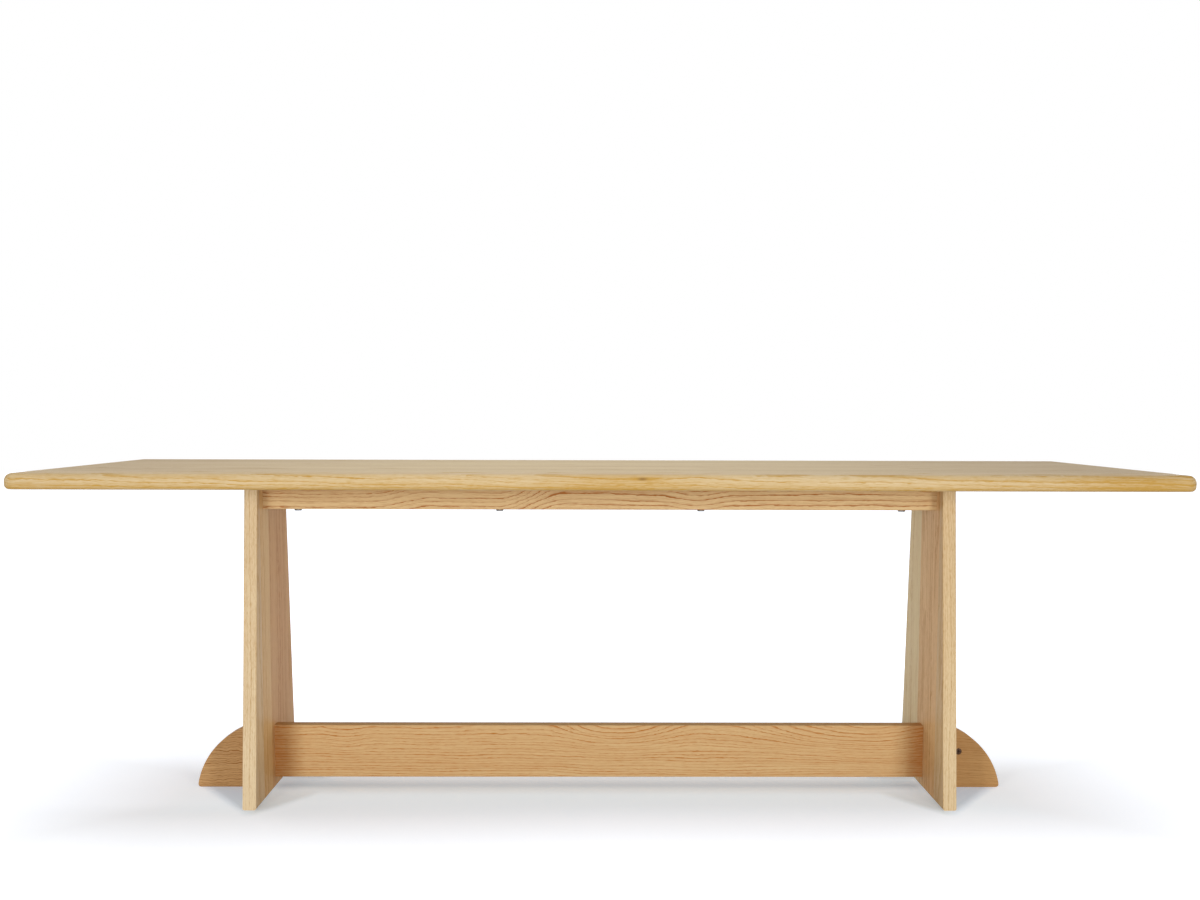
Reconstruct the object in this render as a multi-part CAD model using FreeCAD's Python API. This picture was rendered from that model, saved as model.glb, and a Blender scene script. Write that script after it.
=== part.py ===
"""Trestle dining table in solid oak, held together by knock-down connectors.

Millimetres. X runs along the table, Y from the front to the back, Z up.
The origin is on the floor, under the middle of the table.
"""
import FreeCAD, Part
import math
import os

# Tabletop, glued up from full-length staves
table_length = 2400.0
table_width = 1000.0
table_height = 750.0
top_thickness = 33.0
top_corner_radius = 20.0
top_upper_edge_radius = 16.0
top_lower_edge_radius = 10.0
top_stave_count = 9

# Legs: upright panels of vertical staves that widen towards the floor
leg_outer_span = 1575.0
leg_thickness = 30.0
leg_depth_at_top = 327.0
leg_depth_at_floor = 486.0
leg_edge_radius = 2.5
leg_stave_count = 5
leg_outer_stave_at_top = 18.0

# Rails under the top, between the legs
rail_face_to_centre = 109.5
rail_thickness = 30.0
rail_height = 61.0
rail_edge_radius = 2.0

# Stretcher, on edge above the floor, between the legs
stretcher_floor_gap = 24.0
stretcher_height = 122.5
stretcher_thickness = 38.0
stretcher_edge_radius = 1.5

# Feet: rounded blocks that stand outside the legs
foot_reach = 152.0
foot_height = 152.0
foot_bulge = 36.5
foot_thickness = 38.0
foot_edge_chamfer = 1.5
foot_tip_radius = 8.0

# Flat-headed bolts that pull the top down on the rails
top_bolts_per_rail = 4
top_bolt_spacing = 454.0
bolt_diameter = 6.0
bolt_clearance = 0.5
bolt_head_diameter = 16.5
bolt_head_height = 3.8
bolt_head_chamfer = 1.2
bolt_socket_width = 4.0
bolt_socket_depth = 2.4
top_bolt_grip = 17.0

# Threaded inserts, in the top and in the legs
insert_diameter = 10.0
insert_clearance = 0.1
thread_clearance = 0.1
top_insert_length = 18.0
leg_insert_length = 14.0
insert_hole_spare = 2.0

# Cams and the bolts that they draw in
cam_diameter = 15.0
cam_clearance = 0.1
cam_recess = 0.5
cam_beyond_bolt = 6.0
cam_driver_width = 9.0
cam_driver_bar = 2.4
cam_driver_depth = 5.0
cam_turn = 120.0
cam_bolt_diameter = 7.0
cam_bolt_clearance = 0.5
cam_bolt_head_diameter = 7.6
cam_bolt_head_length = 3.0
cam_bolt_neck_diameter = 5.0
cam_bolt_neck_length = 7.0
cam_hook_clearance = 0.3
rail_bolt_grip = 12.0
rail_cam_setback = 34.0
stretcher_cam_setback = 54.0
foot_cam_setback = 54.0

# Dowels that keep the boards in line
rail_dowel_diameter = 8.0
rail_dowel_in_rail = 24.0
rail_dowel_in_leg = 15.0
rail_dowel_spacing = 36.0
stretcher_dowel_diameter = 10.0
stretcher_dowel_in_stretcher = 30.0
stretcher_dowel_in_foot = 30.0
stretcher_dowel_spacing = 72.0
dowel_clearance = 0.1
dowel_hole_spare = 0.8

# Flat sides that make up a round, on fasteners buried in the wood and on those that show
buried_sides = 10
showing_sides = 20

# Places worked out from the sizes above
underside = table_height - top_thickness
leg_outer = leg_outer_span / 2
leg_inner = leg_outer - leg_thickness
rail_bottom = underside - rail_height
rail_mid_height = underside - rail_height / 2
rail_mid_depth = rail_face_to_centre - rail_thickness / 2
rail_inner_face = rail_face_to_centre - rail_thickness
stretcher_top = stretcher_floor_gap + stretcher_height
stretcher_mid_height = stretcher_floor_gap + stretcher_height / 2

ENDS = (-1, 1)
SIDES = (-1, 1)
ORIGIN = FreeCAD.Vector(0, 0, 0)
X_AXIS = FreeCAD.Vector(1, 0, 0)
Y_AXIS = FreeCAD.Vector(0, 1, 0)
Z_AXIS = FreeCAD.Vector(0, 0, 1)


def block(low, high):
    """A box from its lowest to its highest corner."""
    size = [top - bottom for bottom, top in zip(low, high)]
    return Part.makeBox(*size, FreeCAD.Vector(*low))


def polygon_bar(start, along, length, width, sides):
    """A bar with flat sides, or the hole for one; width is from flat to flat."""
    across = Y_AXIS if near(abs(along.x), 1) else X_AXIS
    upward = along.cross(across)
    half_turn = math.pi / sides
    corner = width / 2 / math.cos(half_turn)
    angles = [half_turn * (2 * index + 1) for index in range(sides + 1)]
    points = [FreeCAD.Vector(*start) + across * corner * math.cos(angle) + upward * corner * math.sin(angle)
              for angle in angles]
    return Part.Face(Part.makePolygon(points)).extrude(along * length)


def pin(start, along, length, width):
    """A shank, pin or bore that is buried in the wood."""
    return polygon_bar(start, along, length, width, buried_sides)


def disc(start, along, length, width):
    """A head, a cam or a pocket whose end shows on the table."""
    return polygon_bar(start, along, length, width, showing_sides)


def stepped_pin(start, along, steps):
    """Pins of several widths in a row; steps holds a length and a width for each."""
    at = FreeCAD.Vector(*start)
    pieces = []
    for length, width in steps:
        pieces.append(pin(at, along, length, width))
        at = at + along * length
    return pieces[0].fuse(pieces[1:])


def extruded(edges, along):
    return Part.Face(Part.Wire(edges)).extrude(along)


def line(start, end):
    return Part.LineSegment(start, end).toShape()


def moved(shape, x, y, z):
    copy = shape.copy()
    copy.translate(FreeCAD.Vector(x, y, z))
    return copy


def turned(shape):
    """The same piece turned half round, for the other end or side of the table."""
    copy = shape.copy()
    copy.rotate(ORIGIN, Z_AXIS, 180)
    return copy


def near(value, target):
    return abs(value - target) < 0.01


def long_edges(board):
    """The edges that run the whole length of a board along X."""
    return [edge for edge in board.Edges if near(edge.BoundBox.XLength, board.BoundBox.XLength)]


# Where the fasteners sit

def top_bolt_places():
    """Plan positions of the bolts, along the front rail and then the rear one."""
    first = -top_bolt_spacing * (top_bolts_per_rail - 1) / 2
    return [(first + index * top_bolt_spacing, side * rail_mid_depth)
            for side in SIDES for index in range(top_bolts_per_rail)]


def rail_ends():
    """Each end of each rail: the end of the table, and the side the rail is on."""
    return [(end, side) for end in ENDS for side in SIDES]


def two_heights(middle, spacing):
    return middle - spacing / 2, middle + spacing / 2


rail_dowel_heights = two_heights(rail_mid_height, rail_dowel_spacing)
stretcher_dowel_heights = two_heights(stretcher_mid_height, stretcher_dowel_spacing)


# Holes, cut from every board that a fastener enters

def top_insert_holes():
    depth = top_insert_length + insert_hole_spare
    diameter = insert_diameter + 2 * insert_clearance
    return [pin((x, y, underside), Z_AXIS, depth, diameter) for x, y in top_bolt_places()]


def top_bolt_holes():
    diameter = bolt_diameter + 2 * bolt_clearance
    return [pin((x, y, rail_bottom), Z_AXIS, rail_height, diameter) for x, y in top_bolt_places()]


def leg_insert_holes():
    depth = leg_insert_length + insert_hole_spare
    diameter = insert_diameter + 2 * insert_clearance
    return [pin((end * leg_inner, side * rail_mid_depth, rail_mid_height), X_AXIS * end, depth, diameter)
            for end, side in rail_ends()]


def rail_bolt_holes():
    """From each end of a rail in to its cam."""
    diameter = cam_bolt_diameter + 2 * cam_bolt_clearance
    return [pin((end * leg_inner, side * rail_mid_depth, rail_mid_height), X_AXIS * -end,
                rail_cam_setback, diameter)
            for end, side in rail_ends()]


def rail_dowel_holes():
    start = leg_inner - rail_dowel_in_rail - dowel_hole_spare
    length = rail_dowel_in_rail + rail_dowel_in_leg + 2 * dowel_hole_spare
    diameter = rail_dowel_diameter + 2 * dowel_clearance
    return [pin((end * start, side * rail_mid_depth, z), X_AXIS * end, length, diameter)
            for end, side in rail_ends() for z in rail_dowel_heights]


def stretcher_bolt_holes():
    """From the cam in the stretcher, through the leg, to the cam in the foot."""
    start = leg_inner - stretcher_cam_setback
    length = stretcher_cam_setback + leg_thickness + foot_cam_setback
    diameter = cam_bolt_diameter + 2 * cam_bolt_clearance
    return [pin((end * start, 0, stretcher_mid_height), X_AXIS * end, length, diameter) for end in ENDS]


def stretcher_dowel_holes():
    start = leg_inner - stretcher_dowel_in_stretcher - dowel_hole_spare
    stop = leg_outer + stretcher_dowel_in_foot + dowel_hole_spare
    diameter = stretcher_dowel_diameter + 2 * dowel_clearance
    return [pin((end * start, 0, z), X_AXIS * end, stop - start, diameter)
            for end in ENDS for z in stretcher_dowel_heights]


def cam_pocket(x, face, z, into, board_thickness):
    """Blind pocket from a board's face; into is +1 or -1, its way along Y."""
    depth = board_thickness / 2 + cam_beyond_bolt
    return disc((x, face, z), Y_AXIS * into, depth, cam_diameter + 2 * cam_clearance)


# Boards

def tabletop():
    """The whole top, rounded over all round, before it is parted into staves."""
    slab = block((-table_length / 2, -table_width / 2, underside),
                 (table_length / 2, table_width / 2, table_height))
    corners = [edge for edge in slab.Edges if near(edge.BoundBox.ZLength, top_thickness)]
    slab = slab.makeFillet(top_corner_radius, corners)
    for height, radius in ((table_height, top_upper_edge_radius), (underside, top_lower_edge_radius)):
        outline = [edge for edge in slab.Edges
                   if near(edge.BoundBox.ZMin, height) and near(edge.BoundBox.ZMax, height)]
        slab = slab.makeFillet(radius, outline)
    return slab.cut(top_insert_holes())


def right_leg():
    """A whole leg panel, rounded along its four long edges."""
    profile = [(-leg_depth_at_floor / 2, 0), (leg_depth_at_floor / 2, 0),
               (leg_depth_at_top / 2, underside), (-leg_depth_at_top / 2, underside)]
    points = [FreeCAD.Vector(leg_inner, y, z) for y, z in profile]
    sides = [line(points[index - 1], points[index]) for index in range(len(points))]
    panel = extruded(sides, X_AXIS * leg_thickness)
    upright = [edge for edge in panel.Edges if near(edge.BoundBox.ZLength, underside)]
    panel = panel.makeFillet(leg_edge_radius, upright)
    holes = leg_insert_holes() + rail_dowel_holes() + stretcher_bolt_holes() + stretcher_dowel_holes()
    return panel.cut(holes)


def staves(panel, glue_lines):
    """Part a panel into boards at its glue lines across Y, the front board first."""
    box = panel.BoundBox
    breadth = box.YLength
    sides = [box.YMin - breadth] + glue_lines + [box.YMax + breadth]
    boards = []
    for front, back in zip(sides, sides[1:]):
        slot = block((box.XMin - breadth, front, box.ZMin - breadth),
                     (box.XMax + breadth, back, box.ZMax + breadth))
        boards.append(panel.common(slot))
    return boards


def even_lines(first, last, gaps):
    """Lines at even steps, both ends included."""
    return [first + (last - first) * index / gaps for index in range(gaps + 1)]


def top_glue_lines():
    lines = even_lines(-table_width / 2, table_width / 2, top_stave_count)
    return lines[1:-1]


def leg_glue_lines():
    """The inner staves are alike, and the outer two take up the taper."""
    outermost = leg_depth_at_top / 2 - leg_outer_stave_at_top
    return even_lines(-outermost, outermost, leg_stave_count - 2)


def front_rail():
    rail = block((-leg_inner, -rail_face_to_centre, rail_bottom), (leg_inner, -rail_inner_face, underside))
    lower = [edge for edge in long_edges(rail) if near(edge.BoundBox.ZMax, rail_bottom)]
    rail = rail.makeFillet(rail_edge_radius, lower)
    cam_x = leg_inner - rail_cam_setback
    pockets = [cam_pocket(end * cam_x, -rail_inner_face, rail_mid_height, -1, rail_thickness)
               for end in ENDS]
    return rail.cut(top_bolt_holes() + rail_bolt_holes() + rail_dowel_holes() + pockets)


def stretcher():
    half = stretcher_thickness / 2
    board = block((-leg_inner, -half, stretcher_floor_gap), (leg_inner, half, stretcher_top))
    board = board.makeFillet(stretcher_edge_radius, long_edges(board))
    cam_x = leg_inner - stretcher_cam_setback
    pockets = [cam_pocket(end * cam_x, half, stretcher_mid_height, -1, stretcher_thickness)
               for end in ENDS]
    return board.cut(stretcher_bolt_holes() + stretcher_dowel_holes() + pockets)


def right_foot():
    """Flat on the floor and against the leg, with one arc from the leg down to the tip."""
    half = foot_thickness / 2
    heel = FreeCAD.Vector(leg_outer, -half, 0)
    crown = heel + Z_AXIS * foot_height
    tip = heel + X_AXIS * foot_reach
    outward = FreeCAD.Vector(foot_height, 0, foot_reach).normalize()
    swell = (crown + tip) * 0.5 + outward * foot_bulge
    arc = Part.Arc(crown, swell, tip).toShape()
    foot = extruded([line(heel, crown), arc, line(tip, heel)], Y_AXIS * foot_thickness)
    tip_edge = [edge for edge in foot.Edges if near(edge.BoundBox.XMin, tip.x)]
    foot = foot.makeFillet(foot_tip_radius, tip_edge)
    outline = [edge for edge in foot.Edges
               if near(edge.BoundBox.YLength, 0) and not near(edge.BoundBox.XLength, 0)]
    foot = foot.makeChamfer(foot_edge_chamfer, outline)
    pocket = cam_pocket(leg_outer + foot_cam_setback, -half, stretcher_mid_height, 1, foot_thickness)
    return foot.cut(stretcher_bolt_holes() + stretcher_dowel_holes() + [pocket])


# Fasteners

def top_bolt():
    """Flat-headed bolt with a hexagon socket: head down, its seat at the origin."""
    head = disc((0, 0, -bolt_head_height), Z_AXIS, bolt_head_height, bolt_head_diameter)
    rim = [edge for edge in head.Edges if near(edge.BoundBox.ZMax, -bolt_head_height)]
    head = head.makeChamfer(bolt_head_chamfer, rim)
    socket = polygon_bar((0, 0, -bolt_head_height), Z_AXIS, bolt_socket_depth, bolt_socket_width, 6)
    shank = pin((0, 0, 0), Z_AXIS, rail_height + top_bolt_grip, bolt_diameter)
    return head.cut(socket).fuse(shank)


def insert(length, along):
    """Threaded insert with its mouth at the origin."""
    body = pin((0, 0, 0), along, length, insert_diameter)
    return body.cut(pin((0, 0, 0), along, length, bolt_diameter + 2 * thread_clearance))


def hook():
    """Head and neck of a cam bolt, as steps from the head's end."""
    return [(cam_bolt_head_length, cam_bolt_head_diameter), (cam_bolt_neck_length, cam_bolt_neck_diameter)]


def from_cam_to_neck():
    """How far a cam bolt's shaft starts from the axis of its cam."""
    return cam_bolt_head_length / 2 + cam_bolt_neck_length


def rail_bolt():
    """Cam bolt along +X, its shoulder at the origin and its thread in the leg."""
    shaft = (rail_cam_setback - from_cam_to_neck(), cam_bolt_diameter)
    thread = (rail_bolt_grip, bolt_diameter)
    start = (-rail_cam_setback - cam_bolt_head_length / 2, 0, 0)
    return stepped_pin(start, X_AXIS, hook() + [shaft, thread])


def stretcher_bolt():
    """Cam bolt with a head at both ends, along +X, the leg's inner face at the origin."""
    between_cams = stretcher_cam_setback + leg_thickness + foot_cam_setback
    shaft = (between_cams - 2 * from_cam_to_neck(), cam_bolt_diameter)
    start = (-stretcher_cam_setback - cam_bolt_head_length / 2, 0, 0)
    return stepped_pin(start, X_AXIS, hook() + [shaft] + hook()[::-1])


def cam(board_thickness):
    """Cam with its driven face at the origin, its body along +Y and its bolt coming in from +X.

    The slot lets the bolt's neck by as the cam turns, and the hollow holds its head.
    """
    bolt_depth = board_thickness / 2 - cam_recess
    body = disc((0, 0, 0), Y_AXIS, bolt_depth + cam_beyond_bolt, cam_diameter)
    head_room = cam_bolt_head_diameter + 2 * cam_hook_clearance
    neck_room = cam_bolt_neck_diameter + 2 * cam_hook_clearance
    hollow_half = cam_bolt_head_length / 2 + cam_hook_clearance
    hollow = pin((-hollow_half, bolt_depth, 0), X_AXIS, 2 * hollow_half, head_room)
    neck_way = pin((0, bolt_depth, 0), X_AXIS, cam_diameter, neck_room)
    slot = Part.makeCylinder(cam_diameter, neck_room, Y_AXIS * (bolt_depth - neck_room / 2), Y_AXIS, cam_turn)
    slot.rotate(ORIGIN, Y_AXIS, -cam_turn / 2)
    long_half = cam_driver_width / 2
    short_half = cam_driver_bar / 2
    bar = block((-long_half, 0, -short_half), (long_half, cam_driver_depth, short_half))
    cross_bar = block((-short_half, 0, -long_half), (short_half, cam_driver_depth, long_half))
    return body.cut([hollow, neck_way, slot, bar, cross_bar])


def placed_cam(board_thickness, x, face, z, into, towards):
    """Set a cam in its pocket; towards is +1 or -1, the side its bolt comes from along X."""
    piece = cam(board_thickness)
    if into < 0:
        piece.rotate(ORIGIN, X_AXIS, 180)
    if towards < 0:
        piece.rotate(ORIGIN, Y_AXIS, 180)
    return moved(piece, x, face + into * cam_recess, z)


# The whole table

def boards():
    top_staves = staves(tabletop(), top_glue_lines())
    pieces = {"top_stave_%d" % number: [stave] for number, stave in enumerate(top_staves, 1)}
    right = right_leg()
    for name, panel in (("left", turned(right)), ("right", right)):
        for number, stave in enumerate(staves(panel, leg_glue_lines()), 1):
            pieces["%s_leg_stave_%d" % (name, number)] = [stave]
    rail = front_rail()
    foot = right_foot()
    pieces["front_rail"] = [rail]
    pieces["rear_rail"] = [turned(rail)]
    pieces["stretcher"] = [stretcher()]
    pieces["left_foot"] = [turned(foot)]
    pieces["right_foot"] = [foot]
    return pieces


def top_fasteners():
    bolts = [moved(top_bolt(), x, y, rail_bottom) for x, y in top_bolt_places()]
    inserts = [moved(insert(top_insert_length, Z_AXIS), x, y, underside) for x, y in top_bolt_places()]
    return {"top_bolts": bolts, "top_inserts": inserts}


def rail_fasteners():
    """Every rail end is fitted out alike: built for the right end, turned for the left."""
    bolts, inserts, cams, dowels = [], [], [], []
    dowel_start = leg_inner - rail_dowel_in_rail
    dowel_length = rail_dowel_in_rail + rail_dowel_in_leg
    for side in SIDES:
        y = side * rail_mid_depth
        bolts.append(moved(rail_bolt(), leg_inner, y, rail_mid_height))
        inserts.append(moved(insert(leg_insert_length, X_AXIS), leg_inner, y, rail_mid_height))
        cams.append(placed_cam(rail_thickness, leg_inner - rail_cam_setback, side * rail_inner_face,
                               rail_mid_height, side, 1))
        for z in rail_dowel_heights:
            dowels.append(pin((dowel_start, y, z), X_AXIS, dowel_length, rail_dowel_diameter))
    groups = {"rail_bolts": bolts, "leg_inserts": inserts, "rail_cams": cams, "rail_dowels": dowels}
    return {name: group + [turned(piece) for piece in group] for name, group in groups.items()}


def stretcher_fasteners():
    bolt = moved(stretcher_bolt(), leg_inner, 0, stretcher_mid_height)
    dowel_start = leg_inner - stretcher_dowel_in_stretcher
    dowel_length = stretcher_dowel_in_stretcher + leg_thickness + stretcher_dowel_in_foot
    dowels = [pin((dowel_start, 0, z), X_AXIS, dowel_length, stretcher_dowel_diameter)
              for z in stretcher_dowel_heights]
    foot_cam = placed_cam(foot_thickness, leg_outer + foot_cam_setback, -foot_thickness / 2,
                          stretcher_mid_height, 1, -1)
    cam_x = leg_inner - stretcher_cam_setback
    stretcher_cams = [placed_cam(stretcher_thickness, end * cam_x, stretcher_thickness / 2,
                                 stretcher_mid_height, -1, end) for end in ENDS]
    return {"stretcher_bolts": [bolt, turned(bolt)],
            "stretcher_cams": stretcher_cams,
            "foot_cams": [foot_cam, turned(foot_cam)],
            "stretcher_dowels": dowels + [turned(dowel) for dowel in dowels]}


def main():
    os.makedirs("parts", exist_ok=True)
    pieces = {**boards(), **top_fasteners(), **rail_fasteners(), **stretcher_fasteners()}
    for name, shapes in pieces.items():
        solids = [solid for shape in shapes for solid in shape.Solids]
        node = solids[0] if len(solids) == 1 else Part.makeCompound(solids)
        node.exportStep("parts/%s.step" % name)
        valid = all(solid.isValid() for solid in solids)
        print(name, len(solids), "valid" if valid else "INVALID", round(node.Volume), "mm3")


main()
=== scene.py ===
# %% [markdown]
# # A trestle dining table in oak
# The imported model is loaded first and is never moved. It gives the box of each piece, in metres, with X
# along the table, Y from front to back and Z up. Sizes that a box doesn't show, such as radii, are
# written out where they are needed. Each board is then modelled again with finer edges and dressed in
# oak. The imported pieces that the new boards replace are kept, hidden.

# %% Load the imported table
import math
import random
from functools import partial, reduce

import bmesh
import bpy
from mathutils import Matrix, Vector


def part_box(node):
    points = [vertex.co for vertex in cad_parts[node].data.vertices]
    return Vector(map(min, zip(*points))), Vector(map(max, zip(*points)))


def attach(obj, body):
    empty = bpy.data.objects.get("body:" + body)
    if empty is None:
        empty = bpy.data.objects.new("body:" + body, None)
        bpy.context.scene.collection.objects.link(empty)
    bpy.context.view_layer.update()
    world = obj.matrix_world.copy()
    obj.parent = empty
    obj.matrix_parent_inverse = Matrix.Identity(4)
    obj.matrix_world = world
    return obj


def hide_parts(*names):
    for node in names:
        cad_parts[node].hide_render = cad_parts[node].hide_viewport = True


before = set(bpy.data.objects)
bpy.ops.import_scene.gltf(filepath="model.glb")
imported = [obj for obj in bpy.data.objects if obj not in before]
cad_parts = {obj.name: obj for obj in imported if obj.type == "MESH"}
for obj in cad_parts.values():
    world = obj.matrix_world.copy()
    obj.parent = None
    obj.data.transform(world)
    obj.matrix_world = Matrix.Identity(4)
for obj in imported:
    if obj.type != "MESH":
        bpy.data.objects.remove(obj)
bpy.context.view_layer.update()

# %% [markdown]
# ## The camera
# The photograph was taken from a standing distance, just above the height of the tabletop. A camera can
# be aimed by eye, but here its place, turn and focal length were worked out from the corners of the
# table, so that the render lines up with the picture. It looks slightly down at the table, and a shift
# of the lens moves the frame up from there, because most of the white lies above the table.

# %% Camera at the photograph's place
camera_place = Vector((-0.0318, -3.7043, 0.8721))
camera_turn = math.radians(0.497)
camera_tilt = math.radians(5.522)
camera_roll = math.radians(0.149)
film_width = 36.0
lens_length = 48.018
lens_rise = 0.0983

camera_data = bpy.data.cameras.new("camera")
camera_data.sensor_width = film_width
camera_data.lens = lens_length
camera_data.shift_y = lens_rise
camera = bpy.data.objects.new("camera", camera_data)
bpy.context.collection.objects.link(camera)
aim = Matrix.Rotation(-camera_turn, 4, "Z") @ Matrix.Rotation(math.pi / 2 - camera_tilt, 4, "X")
camera.matrix_world = Matrix.Translation(camera_place) @ aim @ Matrix.Rotation(camera_roll, 4, "Z")
bpy.context.scene.camera = camera
bpy.context.scene.view_settings.view_transform = "Standard"
print("camera:", lens_length, "mm lens,", round(camera_place.length, 2), "m from the floor's middle")

# %% [markdown]
# ## Light
# The picture is a studio shot on white. A large soft light overhead leaves a grey shadow below the
# tabletop. Two smaller ones stand to the left and right of the camera, a little above the height of the
# tabletop. They reach under it to the rail and the stretcher, and the legs cast shadows away from them.
# The lit backdrop spills round both sides onto the inner faces of the legs. Area lamps stand for all of
# these, set by how bright they make a white sheet at the table, and the world fills in a little from
# all round.

# %% Helpers that add nodes and plug in their inputs
def add_node(tree, kind, inputs=None, **settings):
    made = tree.nodes.new(kind)
    for name, value in settings.items():
        setattr(made, name, value)
    for key, value in (inputs or {}).items():
        socket = made.inputs[key]
        if isinstance(value, bpy.types.NodeSocket):
            tree.links.new(value, socket)
        else:
            socket.default_value = value
    return made


def math_node(tree, operation, *values):
    made = add_node(tree, "ShaderNodeMath", dict(enumerate(values)), operation=operation)
    return made.outputs[0]


def mix_colours(tree, share, first, second):
    """One colour that gives way to another as the share grows from 0 to 1."""
    # The node has sockets for several kinds of value; those for colours are 6 and 7, and output 2.
    made = add_node(tree, "ShaderNodeMix", {0: share, 6: first, 7: second}, data_type="RGBA")
    return made.outputs[2]


def seen_directly(tree):
    """1 for rays from the camera, and for those that metal reflects or glass lets through, otherwise 0."""
    path = add_node(tree, "ShaderNodeLightPath").outputs
    either = math_node(tree, "MAXIMUM", path["Is Camera Ray"], path["Is Glossy Ray"])
    return math_node(tree, "MAXIMUM", either, path["Is Transmission Ray"])


# %% Even fill from all round, white where the camera sees it
fill_colour = (0.40, 0.385, 0.36, 1)
white = (1, 1, 1, 1)

world = bpy.data.worlds.new("studio")
bpy.context.scene.world = world
world.use_nodes = True
sky = world.node_tree
sky.nodes.clear()
brightness = mix_colours(sky, seen_directly(sky), fill_colour, white)
even_light = add_node(sky, "ShaderNodeBackground", {"Color": brightness, "Strength": 1.0})
add_node(sky, "ShaderNodeOutputWorld", {"Surface": even_light.outputs[0]})
print("fill:", fill_colour[:3])


# %% Soft lights
def soft_light(name, place, target, width, height, level):
    """A lit sheet facing the target; a white surface facing it there looks as bright as level."""
    data = bpy.data.lights.new(name, "AREA")
    data.shape = "RECTANGLE"
    data.size = width
    data.size_y = height
    way = target - place
    # The light thins out over pi * distance ** 2, and matt white shows 1 / pi of what falls on it.
    data.energy = level * math.pi ** 2 * way.length_squared
    lamp = bpy.data.objects.new(name, data)
    bpy.context.collection.objects.link(lamp)
    lamp.location = place
    lamp.rotation_euler = way.to_track_quat("-Z", "Y").to_euler()
    lamp.visible_camera = False
    print(name, round(data.energy), "W")


soft_light("overhead_light", place=Vector((-0.25, -0.1, 2.5)), target=Vector((-0.25, 0, 0.75)),
           width=1.0, height=2.0, level=0.52)
for side in (-1, 1):
    soft_light("front_light", place=Vector((side * 1.72, -4.3, 0.85)), target=Vector((0, 0, 0.5)),
               width=0.9, height=0.9, level=0.316)
    soft_light("back_light", place=Vector((side * 3.2, 2.6, 0.7)), target=Vector((-side * 0.75, 0, 0.4)),
               width=2.0, height=1.2, level=0.12)

# %% [markdown]
# ## The floor
# The floor is a matt sheet that also glows for the camera, so that it melts into the white background.
# Under the table the glow is held back, because the top shades the floor there, and it grows further out
# and towards the back, until no edge of the sheet can be seen. It is weakest in a wedge on either side of
# each leg and close along the stretcher, where light comes from one side only, and in front it is a
# little weaker on the left. The oak throws warm light on the floor near it, so the glow there is cooler,
# which leaves the shadow grey.

# %% More helpers, for places and levels
def vector_node(tree, operation, *values):
    made = add_node(tree, "ShaderNodeVectorMath", dict(enumerate(values)), operation=operation)
    return made.outputs["Value" if operation == "LENGTH" else "Vector"]


def ramp(tree, value, first, last, at_first=0.0, at_last=1.0, curve="LINEAR"):
    """From one level to another between a first and a last place, and level beyond them."""
    made = add_node(tree, "ShaderNodeMapRange", {"Value": value, "From Min": first, "From Max": last,
                    "To Min": at_first, "To Max": at_last}, interpolation_type=curve)
    return made.outputs["Result"]


def empty_material(name):
    """A new material whose nodes are still to be added."""
    material = bpy.data.materials.new(name)
    material.use_nodes = True
    material.node_tree.nodes.clear()
    return material


# %% A white sheet that glows more further out
floor_size = 40.0

bpy.ops.object.select_all(action="DESELECT")
bpy.ops.mesh.primitive_plane_add(size=floor_size)
floor = bpy.context.active_object
floor.name = "floor"
paper = empty_material("white_floor")
paper_tree = paper.node_tree
floor_math = partial(math_node, paper_tree)
floor_ramp = partial(ramp, paper_tree)

# Each of these is a first and a last place, in metres from the middle, and the level at each.
growing_to_the_ends = (0.95, 1.75, 0, 0.52)
growing_front_and_back = (0.2, 1.2, 0, 0.57)
growing_behind = (0.1, 0.32, 0, 0.24)

spot = add_node(paper_tree, "ShaderNodeTexCoord").outputs["Object"]
towards_right, towards_back, _ = add_node(paper_tree, "ShaderNodeSeparateXYZ", {0: spot}).outputs
from_middle = vector_node(paper_tree, "ABSOLUTE", spot)
out = add_node(paper_tree, "ShaderNodeSeparateXYZ", {0: from_middle}).outputs
outward = floor_math("MAXIMUM", floor_ramp(out["X"], *growing_to_the_ends),
                     floor_ramp(out["Y"], *growing_front_and_back))
further_out = floor_math("MAXIMUM", outward, floor_ramp(towards_back, *growing_behind))
print("floor:", floor_size, "m wide")

# %% Shade beside the legs, along the stretcher and on the left in front
# Four numbers are again two places and the levels there; a wedge's rim is in shares of its reach.
wedge_place = 0.765
wedge_start = 0.01
wedge_reach = (0.16, 0.285)
wedge_rim = (0.85, 1.05, 1, 0)
outside_of_leg = (0.76, 0.78, 0, 1)
inner_wedge_shade = (0.05, 0.2, 0.09, 0.18)
outer_wedge_shade = 0.21
stretcher_shade = (0, 0.1, 0.2, 0)
between_legs = (0.75, 0.79, 1, 0)
left_end = (-1.35, -0.95, 0, 1)
left_shade = (-0.8, 0, 0.08, 0)
before_the_legs = (-0.28, -0.18, 1, 0)

from_place = floor_math("ABSOLUTE", floor_math("SUBTRACT", out["X"], wedge_place))
beside_leg = floor_math("MAXIMUM", floor_math("SUBTRACT", from_place, wedge_start), 0.0)
from_leg = floor_math("ADD", floor_math("DIVIDE", beside_leg, wedge_reach[0]),
                      floor_math("DIVIDE", out["Y"], wedge_reach[1]))
in_wedge = floor_ramp(from_leg, *wedge_rim)
outside = floor_ramp(out["X"], *outside_of_leg)
wedge_shade = floor_math("MAXIMUM", floor_ramp(out["Y"], *inner_wedge_shade),
                         floor_math("MULTIPLY", outside, outer_wedge_shade))
wedge = floor_math("MULTIPLY", in_wedge, wedge_shade)
along_stretcher = floor_math("MULTIPLY", floor_ramp(out["Y"], *stretcher_shade),
                             floor_ramp(out["X"], *between_legs))
on_left = floor_math("MULTIPLY", floor_ramp(towards_right, *left_end),
                     floor_ramp(towards_right, *left_shade))
left_front = floor_math("MULTIPLY", on_left, floor_ramp(towards_back, *before_the_legs))
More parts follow.
